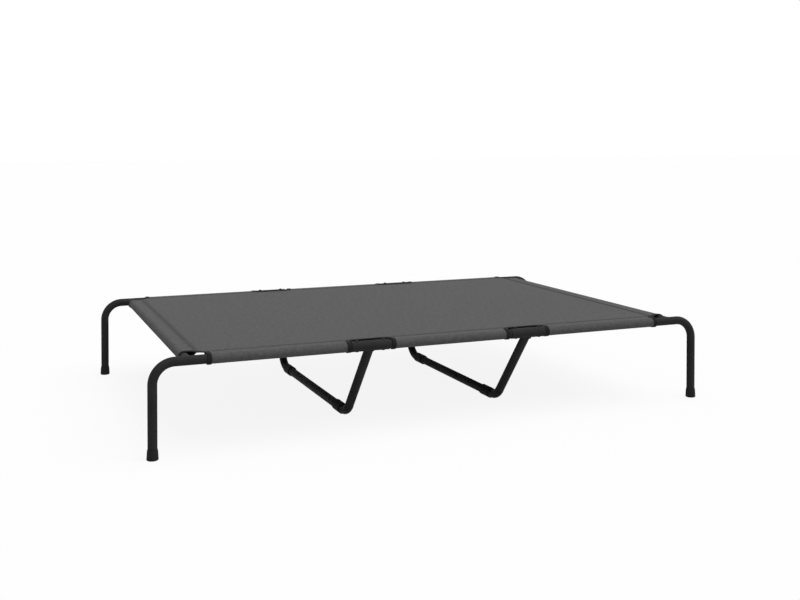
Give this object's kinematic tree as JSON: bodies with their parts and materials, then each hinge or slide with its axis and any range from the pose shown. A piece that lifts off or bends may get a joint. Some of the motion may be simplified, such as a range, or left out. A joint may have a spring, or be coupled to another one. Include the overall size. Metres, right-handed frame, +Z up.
{
  "type": "raised dog cot",
  "caption": "Low raised pet cot: a grey cloth stretched on a black steel tube frame with bent corner legs and U-shaped support frames under its middle.",
  "frame": {"origin": "on the floor, midway between the four legs", "axes": "+X along the length to the right, +Y across the width to the rear, +Z up"},
  "size_m": [1.3042, 0.8044, 0.2003],
  "materials": {
    "steel": "satin black powder coat",
    "foot_rubber": "matt moulded",
    "grip_rubber": "matt moulded",
    "screw_steel": "blackened",
    "cloth": "plain weave, matt",
    "binding_tape": "ribbed tape, matt"
  },
  "bodies": {
    "root": {"corner_leg_front_left": "steel", "corner_leg_front_right": "steel", "corner_leg_rear_left": "steel", "corner_leg_rear_right": "steel", "foot_cap_front_left": "foot_rubber", "foot_cap_front_right": "foot_rubber", "foot_cap_rear_left": "foot_rubber", "foot_cap_rear_right": "foot_rubber", "side_rail_front_left": "steel", "side_rail_front_right": "steel", "side_rail_rear_left": "steel", "side_rail_rear_right": "steel", "centre_rail_front": "steel", "centre_rail_rear": "steel", "end_rail_left": "steel", "end_rail_right": "steel", "support_frame_left": "steel", "support_frame_right": "steel", "grip_front_left": "grip_rubber", "grip_front_right": "grip_rubber", "grip_rear_left": "grip_rubber", "grip_rear_right": "grip_rubber", "outer_screw_front_left": "screw_steel", "outer_screw_front_right": "screw_steel", "outer_screw_rear_left": "screw_steel", "outer_screw_rear_right": "screw_steel", "inner_screw_front_left": "screw_steel", "inner_screw_front_right": "screw_steel", "inner_screw_rear_left": "screw_steel", "inner_screw_rear_right": "screw_steel", "cloth_panel": "cloth", "side_sleeve_front": "cloth", "side_sleeve_rear": "cloth", "end_sleeve_left": "cloth", "end_sleeve_right": "cloth", "corner_binding_front_left": "binding_tape", "corner_binding_front_right": "binding_tape", "corner_binding_rear_left": "binding_tape", "corner_binding_rear_right": "binding_tape", "notch_binding_front_left": "binding_tape", "notch_binding_front_right": "binding_tape", "notch_binding_rear_left": "binding_tape", "notch_binding_rear_right": "binding_tape"}
  },
  "joints": []
}
